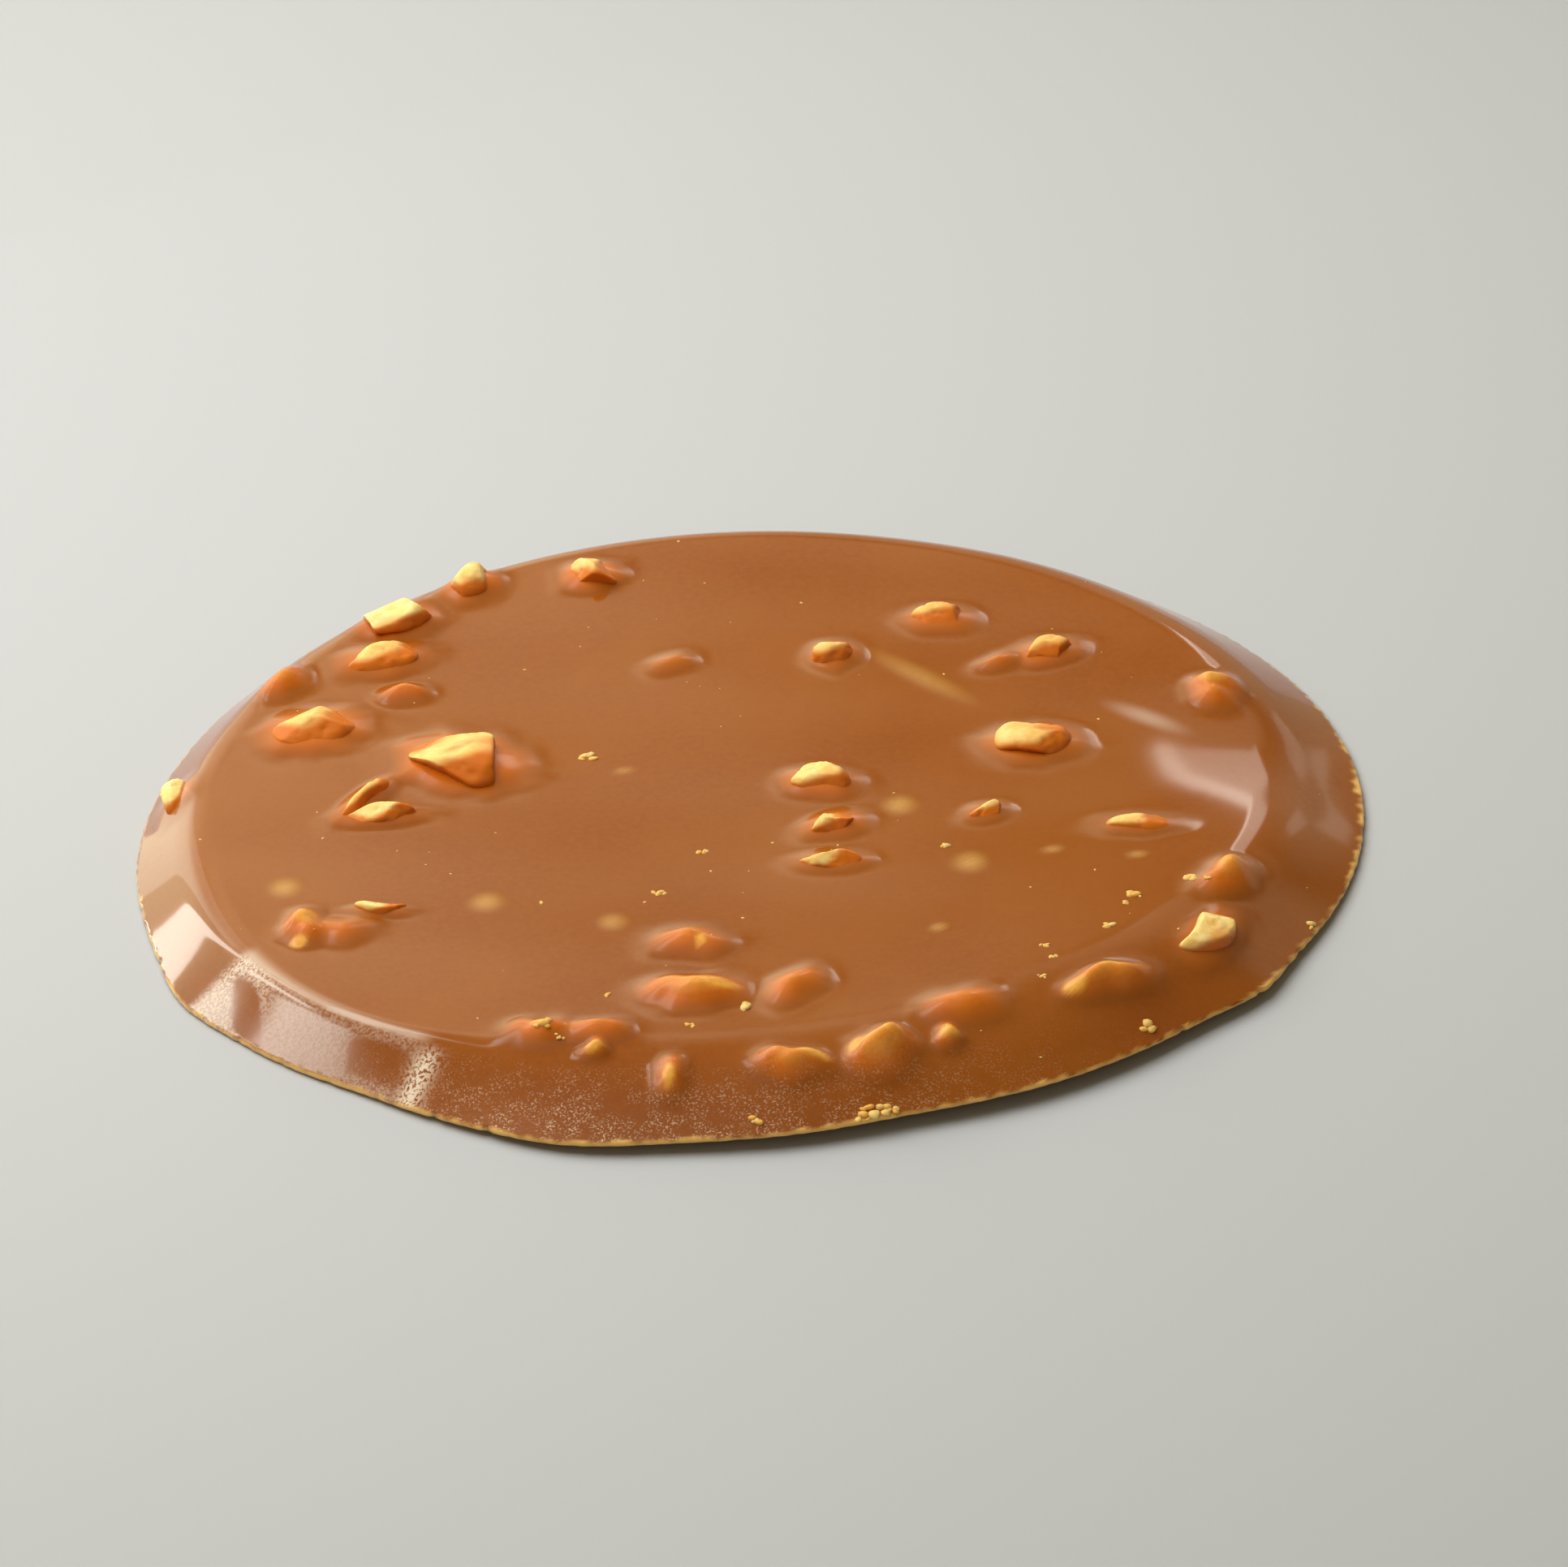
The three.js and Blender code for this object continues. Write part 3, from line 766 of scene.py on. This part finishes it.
def chopped(points, seed):
    """Flat faces cut on a ball, as a knife leaves them."""
    draw = make_random(seed)
    points = points.copy()
    for _ in range(NUT_CUTS):
        azimuth = 2 * math.pi * next(draw)
        upward = 2 * next(draw) - 1
        outward = math.sqrt(1 - upward * upward)
        depth = between(draw, CUT_NEAREST, CUT_FURTHEST)
        facing = np.array([outward * math.cos(azimuth), outward * math.sin(azimuth), upward])
        beyond = np.maximum(0, points @ facing - depth)
        points -= beyond[:, None] * facing
    return points


def fitted(points, length, width, height):
    """Points stretched to the given size, with the middle of their top at the origin."""
    low, high = points.min(0), points.max(0)
    middle = np.array([(low[0] + high[0]) / 2, (low[1] + high[1]) / 2, high[2]])
    return (points - middle) * (np.array([length, width, height]) / (high - low))


def turned(points, degrees):
    angle = math.radians(degrees)
    x = points[:, 0] * math.cos(angle) - points[:, 1] * math.sin(angle)
    y = points[:, 0] * math.sin(angle) + points[:, 1] * math.cos(angle)
    return np.stack([x, y, points[:, 2]], -1)


def softened(points, faces, rounds):
    """Points drawn towards their neighbours, which rounds off sharp corners."""
    starts = faces.ravel()
    ends = np.roll(faces, -1, axis=1).ravel()
    weights = np.bincount(starts, minlength=len(points))[:, None]
    for _ in range(rounds):
        totals = np.zeros_like(points)
        np.add.at(totals, starts, points[ends])
        points = SOFTENING_KEEPS * points + (1 - SOFTENING_KEEPS) * totals / weights
    return points


def nut_piece(name, all_points, all_faces, bare, tones, material):
    piece = new_piece(name, np.concatenate(all_points), np.concatenate(all_faces).tolist(), material)
    set_attribute(piece, "bare", np.concatenate(bare))
    set_attribute(piece, "tone", np.concatenate(tones))
    return piece


def nut_points(number, ball_points, ball_faces):
    """Points of one bare nut where it sits in the chocolate."""
    nut_x, nut_y, length, width, rise, turn, *_ = NUTS[number]
    points = softened(chopped(ball_points, number + 1), ball_faces, NUT_SOFTENING)
    points = fitted(points, length, width, rise + NUT_DEPTH)
    points[:, 1] += BOWED.get(number, 0) * (points[:, 0] / (length / 2)) ** 2
    points = turned(points, turn)
    level = poured(np.array([nut_x]), np.array([nut_y]))[0] + rise
    points += np.array([nut_x, nut_y, level])
    grain = lumps(*points.T, NUT_GRAIN) + FINER_GRAIN * lumps(*points.T, NUT_GRAIN / 2)
    outward = points - points.mean(0)
    outward /= np.linalg.norm(outward, axis=1)[:, None]
    return points + NUT_ROUGHNESS * np.minimum(0, grain)[:, None] * outward


def bareness(number, points):
    """How dry and pale one nut is at its points: 0 under a film of chocolate, 1 where it is bare."""
    nut_x, nut_y, _, width, rise, _, _, tone, bare_and_lit_side = NUTS[number]
    x, y, z = points.T
    height = (z - poured(x, y)) / rise
    # The side that faces the window is left barer and paler: partly painted light
    towards = math.radians(bare_and_lit_side)
    aside = ((x - nut_x) * math.cos(towards) + (y - nut_y) * math.sin(towards)) / width
    dry_line = DRY_LINE - DRY_LINE_LOWERING * tone
    uneven = DRY_LINE_UNEVENNESS * lumps(x, y, z, LUMP_SIZE)
    raised = height + BARE_AND_LIT_SIDE_SHARE * aside + uneven
    dry = smooth_step(dry_line, dry_line + DRY_LINE_SOFTNESS, raised)
    shown = smooth_step(0, SEAM, z - top_surface(x, y))
    return dry * shown * smooth_step(0, BARE_FROM_TONE, tone)


def make_nuts(material):
    ball_points, ball_faces = ball(NUT_BALL_LEVEL)
    all_points, all_faces, bare, tones = [], [], [], []
    for number, (*_, cover, tone, _) in enumerate(NUTS):
        if cover >= COATED:
            continue
        points = nut_points(number, ball_points, ball_faces)
        bare.append(bareness(number, points))
        tones.append(np.full(len(points), tone))
        all_faces.append(ball_faces + len(ball_points) * len(all_points))
        all_points.append(points)
    return nut_piece("nuts", all_points, all_faces, bare, tones, material)


def crumb_places():
    """Every crumb's x, y and size: the larger ones, then fine ones strewn over the top."""
    yield from CRUMBS
    draw = make_random(CRUMB_SEED)
    for _ in range(FINE_CRUMBS):
        angle = 2 * math.pi * next(draw)
        away = (RADIUS - 1) * math.sqrt(next(draw))
        size = FINE_CRUMB_SMALLEST + (FINE_CRUMB_LARGEST - FINE_CRUMB_SMALLEST) * next(draw) ** 2
        yield away * math.cos(angle), away * math.sin(angle), size


def make_crumbs(material):
    ball_points, ball_faces = ball(CRUMB_BALL_LEVEL)
    all_points, all_faces, bare, tones = [], [], [], []
    for number, (x, y, size) in enumerate(crumb_places()):
        draw = make_random(CRUMB_SEED + number)
        for bit in range(CRUMB_BITS if size > FINE_CRUMB_LARGEST else 1):
            bit_size = size * (CRUMB_BIT_LARGEST - CRUMB_BIT_SHRINKING * bit)
            away = CRUMB_SCATTER * size * min(bit, 1)
            bit_x = x + away * (2 * next(draw) - 1)
            bit_y = y + away * (2 * next(draw) - 1)
            width = bit_size * between(draw, CRUMB_BIT_NARROWEST, CRUMB_BIT_WIDEST)
            cut = softened(chopped(ball_points, CRUMB_SEED * (number + 1) + bit), ball_faces, 1)
            points = turned(fitted(cut, bit_size, width, CRUMB_BIT_HEIGHT * width), 360 * next(draw))
            level = top_surface(np.array([bit_x]), np.array([bit_y]))[0] + CRUMB_BIT_LIFT * width
            all_faces.append(ball_faces + len(ball_points) * len(all_points))
            all_points.append(points + np.array([bit_x, bit_y, level]))
            bare.append(np.ones(len(points)))
            tones.append(np.full(len(points), between(draw, CRUMB_TONE_LOWEST, CRUMB_TONE_HIGHEST)))
    return nut_piece("crumbs", all_points, all_faces, bare, tones, material)


class Nodes:
    """Short calls for building a node tree."""

    def __init__(self, tree):
        self.tree = tree

    def node(self, kind, **settings):
        made = self.tree.nodes.new(kind)
        for key, value in settings.items():
            setattr(made, key, value)
        return made

    def link(self, source, target):
        self.tree.links.new(source, target)

    def attribute(self, name):
        return self.node("ShaderNodeAttribute", attribute_name=name).outputs["Fac"]

    def place(self, kind="Object"):
        return self.node("ShaderNodeTexCoord").outputs[kind]

    def noise(self, size_mm, detail=3.0, roughness=0.5):
        texture = self.node("ShaderNodeTexNoise")
        texture.inputs["Scale"].default_value = 1 / (size_mm * MM)
        texture.inputs["Detail"].default_value = detail
        texture.inputs["Roughness"].default_value = roughness
        self.link(self.place(), texture.inputs["Vector"])
        return texture.outputs["Fac"]

    def ramp(self, value, low, high, start=0.0, end=1.0):
        ranged = self.node("ShaderNodeMapRange")
        ranged.inputs["From Min"].default_value = low
        ranged.inputs["From Max"].default_value = high
        ranged.inputs["To Min"].default_value = start
        ranged.inputs["To Max"].default_value = end
        self.link(value, ranged.inputs["Value"])
        return ranged.outputs["Result"]

    def mix(self, share, first, second):
        mixer = self.node("ShaderNodeMix", data_type="RGBA")
        self.link(share, mixer.inputs["Factor"])
        for socket, colour in ((mixer.inputs["A"], first), (mixer.inputs["B"], second)):
            if isinstance(colour, tuple):
                socket.default_value = (*colour, 1)
            else:
                self.link(colour, socket)
        return mixer.outputs["Result"]

    def times(self, first, second):
        product = self.node("ShaderNodeMath", operation="MULTIPLY")
        self.link(first, product.inputs[0])
        if isinstance(second, float):
            product.inputs[1].default_value = second
        else:
            self.link(second, product.inputs[1])
        return product.outputs["Value"]

    def plus(self, first, second):
        total = self.node("ShaderNodeMath", operation="ADD")
        self.link(first, total.inputs[0])
        self.link(second, total.inputs[1])
        return total.outputs["Value"]

    def under_spots(self):
        """Pale spots where a nut touches the underside."""
        cells = self.node("ShaderNodeTexVoronoi")
        cells.inputs["Scale"].default_value = 1 / (UNDER_SPOT_SPACING * MM)
        self.link(self.place(), cells.inputs["Vector"])
        distance = cells.outputs["Distance"]
        return self.ramp(distance, UNDER_SPOT_INNER, UNDER_SPOT_OUTER, UNDER_SPOT_STRENGTH, 0)

    def bump(self, height, strength, depth_mm, under=None):
        bumped = self.node("ShaderNodeBump")
        bumped.inputs["Strength"].default_value = strength
        bumped.inputs["Distance"].default_value = depth_mm * MM
        self.link(height, bumped.inputs["Height"])
        if under is not None:
            self.link(under, bumped.inputs["Normal"])
        return bumped.outputs["Normal"]


class Shader(Nodes):
    """A node material."""

    def __init__(self, name):
        self.material = bpy.data.materials.new(name)
        self.material.use_nodes = True
        super().__init__(self.material.node_tree)
        self.surface = self.tree.nodes["Principled BSDF"]


def srgb(colour):
    """A colour given as 0 to 255 on screen, as the linear values that shaders take."""
    shares = np.array(colour) / 255
    linear = np.where(shares <= 0.04045, shares / 12.92, ((shares + 0.055) / 1.055) ** 2.4)
    return tuple(float(v) for v in linear)


def chocolate_colour(shader, film, bloom_and_glints, painted_window_share):
    """Brown, paler over nuts, with bloom and painted glints, a painted band and a painted window reflection on
    the lip, painted highlights along the fold and in streaks, and a golden rim.
    """
    broad = shader.ramp(shader.noise(11, 4), 0.35, 0.65)
    colour = shader.mix(broad, srgb(CHOCOLATE_DARK), srgb(CHOCOLATE_LIGHT))
    colour = shader.mix(shader.ramp(film, 0.08, 0.5), colour, srgb(FILM_THICK))
    colour = shader.mix(shader.ramp(film, 0.55, 1.1), colour, srgb(FILM_THIN))
    colour = shader.mix(shader.attribute("sunken"), colour, srgb(SUNKEN_COLOUR))
    colour = shader.mix(shader.attribute("crest"), colour, srgb(CREST_COLOUR))
    mottling = shader.ramp(shader.noise(0.35, 4, 0.7), 0.35, 0.7, 0, 0.3)
    colour = shader.mix(mottling, colour, srgb(CHOCOLATE_MOTTLED))
    # Pale specks: bloom, and in part painted glints
    specks = shader.ramp(shader.noise(0.11, 2), 0.53, 0.66)
    specks = shader.times(specks, shader.ramp(shader.noise(1.1, 3), 0.36, 0.56))
    colour = shader.mix(shader.times(specks, shader.times(bloom_and_glints, 0.7)), colour, srgb(BLOOM_AND_GLINT_COLOUR))
    # Painted reflection band on the lip, in speckled patches
    patches = shader.ramp(shader.noise(0.16, 3), 0.42, 0.5)
    colour = shader.mix(shader.times(patches, shader.attribute("reflection_band")), colour, srgb(REFLECTION_BAND_COLOUR))
    # Painted reflection of the left window on the lip's facet
    colour = shader.mix(painted_window_share, colour, srgb(PAINTED_REFLECTION_COLOUR))
    # Painted highlight along the fold and in the streaks
    colour = shader.mix(shader.attribute("sheen"), colour, srgb(PAINTED_REFLECTION_COLOUR))
    under_spots = shader.times(shader.under_spots(), shader.attribute("under"))
    colour = shader.mix(under_spots, colour, srgb(UNDER_SPOT_COLOUR))
    return shader.mix(shader.times(shader.attribute("rim"), 0.95), colour, srgb(RIM_COLOUR))


def chocolate_roughness(shader, film, bloom_and_glints, painted_window_share):
    """Glossy, duller on bloom, on the painted window reflection and over nuts, and glossiest on the smooth
    lip.
    """
    rough = shader.ramp(shader.attribute("smooth"), 0, 1, 0, -0.05)
    rough = shader.plus(shader.ramp(bloom_and_glints, 0, 1, 0.09, 0.3), rough)
    rough = shader.plus(rough, shader.ramp(film, 0.01, 0.1, 0, 0.12))
    return shader.plus(rough, shader.times(painted_window_share, 0.35))


def chocolate_material():
    shader = Shader("milk_chocolate")
    film = shader.attribute("film")
    bloom_and_glints = shader.attribute("bloom_and_glints")
    painted_window_grain = shader.ramp(shader.noise(0.15, 3), 0.4, 0.58, 0.15, 1)
    painted_window_share = shader.times(shader.attribute("painted_window_reflection"), painted_window_grain)
    shader.link(chocolate_colour(shader, film, bloom_and_glints, painted_window_share), shader.surface.inputs["Base Color"])
    shader.link(chocolate_roughness(shader, film, bloom_and_glints, painted_window_share), shader.surface.inputs["Roughness"])
    shader.surface.inputs["IOR"].default_value = 1.5
    clean = shader.times(shader.ramp(painted_window_share, 0, 0.8, 1, 0.2), shader.attribute("glossy"))
    shader.link(clean, shader.surface.inputs["Coat Weight"])
    shader.surface.inputs["Coat Roughness"].default_value = 0.05
    shader.surface.inputs["Subsurface Weight"].default_value = 0.12
    shader.surface.inputs["Subsurface Radius"].default_value = (1.0, 0.45, 0.2)
    shader.surface.inputs["Subsurface Scale"].default_value = 0.6 * MM
    fine = shader.bump(shader.times(shader.noise(0.09, 2), shader.attribute("sparkle")), 0.07, 0.03)
    shader.link(shader.bump(shader.noise(2.5, 2), 0.1, 0.03, fine), shader.surface.inputs["Normal"])
    return shader.material


def nut_material():
    shader = Shader("roasted_nut")
    grain = shader.ramp(shader.noise(0.6, 4, 0.6), 0.3, 0.7)
    cream = shader.mix(grain, srgb(NUT_CREAM_DARK), srgb(NUT_CREAM_LIGHT))
    golden = shader.mix(grain, srgb(NUT_GOLDEN_DARK), srgb(NUT_GOLDEN_LIGHT))
    dry = shader.mix(shader.attribute("tone"), golden, cream)
    bare = shader.attribute("bare")
    colour = shader.mix(bare, srgb(NUT_FILM), dry)
    shader.link(colour, shader.surface.inputs["Base Color"])
    shader.link(shader.ramp(bare, 0, 1, 0.3, 0.45), shader.surface.inputs["Roughness"])
    shader.surface.inputs["IOR"].default_value = 1.36
    shader.surface.inputs["Subsurface Weight"].default_value = 0.25
    shader.surface.inputs["Subsurface Radius"].default_value = (1.0, 0.6, 0.25)
    shader.surface.inputs["Subsurface Scale"].default_value = 0.7 * MM
    fine = shader.times(shader.noise(0.25, 4), bare)
    shader.link(shader.bump(fine, 0.4, 0.05), shader.surface.inputs["Normal"])
    return shader.material


def make_floor():
    shader = Shader("pale_floor")
    shader.surface.inputs["Base Color"].default_value = FLOOR_COLOUR
    shader.surface.inputs["Roughness"].default_value = 0.6
    reach = FLOOR_REACH
    corners = [(-reach, -reach, 0), (reach, -reach, 0), (reach, reach, 0), (-reach, reach, 0)]
    floor = new_piece("floor", corners, [[0, 1, 2, 3]], shader.material)


def add_light(name, way, place, width, height, radiance, colour):
    """A soft light panel that faces against the given way and looks as bright as the given radiance."""
    light = bpy.data.lights.new(name, "AREA")
    light.shape = "RECTANGLE"
    light.size = width * MM
    light.size_y = height * MM
    light.energy = radiance * math.pi * light.size * light.size_y
    light.color = colour
    panel = bpy.data.objects.new(name, light)
    panel.location = place * MM
    panel.rotation_euler = way.to_track_quat("Z", "Y").to_euler()
    panel.visible_camera = False
    bpy.context.scene.collection.objects.link(panel)
    return panel


def add_pane(name, seen_from, distance, azimuths, lifts, radiance, colour, roll):
    """An upright pane of window that takes up the given angles as seen from one point."""
    middle = math.radians((azimuths[0] + azimuths[1]) / 2)
    half = math.radians((azimuths[1] - azimuths[0]) / 2)
    way = Vector((math.cos(middle), math.sin(middle), 0))
    low = distance * math.tan(math.radians(lifts[0]))
    high = distance * math.tan(math.radians(lifts[1]))
    place = seen_from + way * distance + Vector((0, 0, (low + high) / 2))
    panel = add_light(name, way, place, 2 * distance * math.tan(half), high - low, radiance, colour)
    panel.rotation_euler.rotate_axis("Z", math.radians(roll))


def add_window(name, panes, seen_from, distance, colour):
    for number, (azimuth_from, azimuth_to, lift_from, lift_to, radiance, roll) in enumerate(panes):
        azimuths, lifts = (azimuth_from, azimuth_to), (lift_from, lift_to)
        add_pane(f"{name}_{number + 1}", seen_from, distance, azimuths, lifts, radiance, colour, roll)


def make_backdrop():
    world = bpy.data.worlds.new("studio")
    world.use_nodes = True
    nodes = Nodes(world.node_tree)
    direction = nodes.place("Generated")
    rising = nodes.node("ShaderNodeVectorMath", operation="DOT_PRODUCT")
    rising.inputs[1].default_value = BACKDROP_SLOPE
    nodes.link(direction, rising.inputs[0])
    low, high = BACKDROP_DARKEST - BACKDROP_LEVEL, BACKDROP_BRIGHTEST - BACKDROP_LEVEL
    glow = nodes.ramp(rising.outputs["Value"], low, high, 0, BACKDROP_BRIGHTEST - BACKDROP_DARKEST)
    split = nodes.node("ShaderNodeSeparateXYZ")
    nodes.link(direction, split.inputs["Vector"])
    away, upward = split.outputs["Y"], split.outputs["Z"]
    behind = nodes.ramp(away, SIDE_FROM, SIDE_FULL)
    horizon = nodes.ramp(upward, HORIZON_TOP, HORIZON_FULL, 0, HORIZON_GLOW)
    crown = nodes.ramp(upward, CROWN_FROM, CROWN_FULL, 0, CROWN_GLOW)
    fading = nodes.ramp(upward, CROWN_FADING, CROWN_FADED, 1, ABOVE_CROWN)
    lit = nodes.plus(nodes.times(nodes.plus(glow, crown), fading), horizon)
    in_front = nodes.ramp(away, -SIDE_FROM, -SIDE_FULL, 0, FRONT_GLOW)
    near_floor = nodes.ramp(upward, FRONT_TOP, FRONT_FULL)
    total = nodes.node("ShaderNodeMath", operation="ADD")
    nodes.link(nodes.plus(nodes.times(lit, behind), nodes.times(in_front, near_floor)), total.inputs[0])
    total.inputs[1].default_value = BACKDROP_DARKEST
    background = world.node_tree.nodes["Background"]
    background.inputs["Color"].default_value = (*BACKDROP_COLOUR, 1)
    nodes.link(total.outputs["Value"], background.inputs["Strength"])
    bpy.context.scene.world = world


def light_scene():
    make_backdrop()
    add_window("left_pane", LEFT_PANES, LEFT_LIP, LEFT_DISTANCE, LEFT_COLOUR)
    add_window("right_pane", RIGHT_PANES, RIGHT_SHOULDER, RIGHT_DISTANCE, RIGHT_COLOUR)
    place = FILL_WAY * FILL_DISTANCE
    fill = add_light("fill", FILL_WAY, place, FILL_SIDE, FILL_SIDE, FILL_RADIANCE, FILL_COLOUR)
    fill.visible_glossy = False


def place_camera():
    """Stands the camera so that the tuile shows where, and as large as, it does in the photograph."""
    forward = Vector((0, math.cos(CAMERA_ELEVATION), -math.sin(CAMERA_ELEVATION)))
    level = Vector((1, 0, 0))
    upright = level.cross(forward)
    right = math.cos(CAMERA_ROLL) * level - math.sin(CAMERA_ROLL) * upright
    up = math.sin(CAMERA_ROLL) * level + math.cos(CAMERA_ROLL) * upright
    focal = PHOTO_SCALE * CAMERA_DISTANCE
    aside = (PHOTO_WIDTH / 2 - PHOTO_ORIGIN_X) / focal
    above = (PHOTO_ORIGIN_Y - PHOTO_HEIGHT / 2) / focal
    aim = (forward + aside * right + above * up).normalized()
    aim_right = aim.cross(up).normalized()
    aim_up = aim_right.cross(aim)
    data = bpy.data.cameras.new("camera")
    data.sensor_width = SENSOR
    data.lens = SENSOR * focal / PHOTO_WIDTH
    data.clip_start = 0.01
    camera = bpy.data.objects.new("camera", data)
    turn = Matrix((aim_right, aim_up, -aim)).transposed()
    camera.matrix_world = Matrix.Translation(-forward * CAMERA_DISTANCE * MM) @ turn.to_4x4()
    bpy.context.scene.collection.objects.link(camera)
    bpy.context.scene.camera = camera


def build():
    chocolate = make_chocolate(chocolate_material())
    nut = nut_material()
    nuts = make_nuts(nut)
    crumbs = make_crumbs(nut)
    for piece, slot in ((chocolate, "chocolate"), (nuts, "nut"), (crumbs, "nut")):
        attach(piece, "root")
        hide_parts(NODE)
    make_floor()
    light_scene()
    place_camera()
    bpy.context.scene.view_settings.view_transform = "Standard"


build()
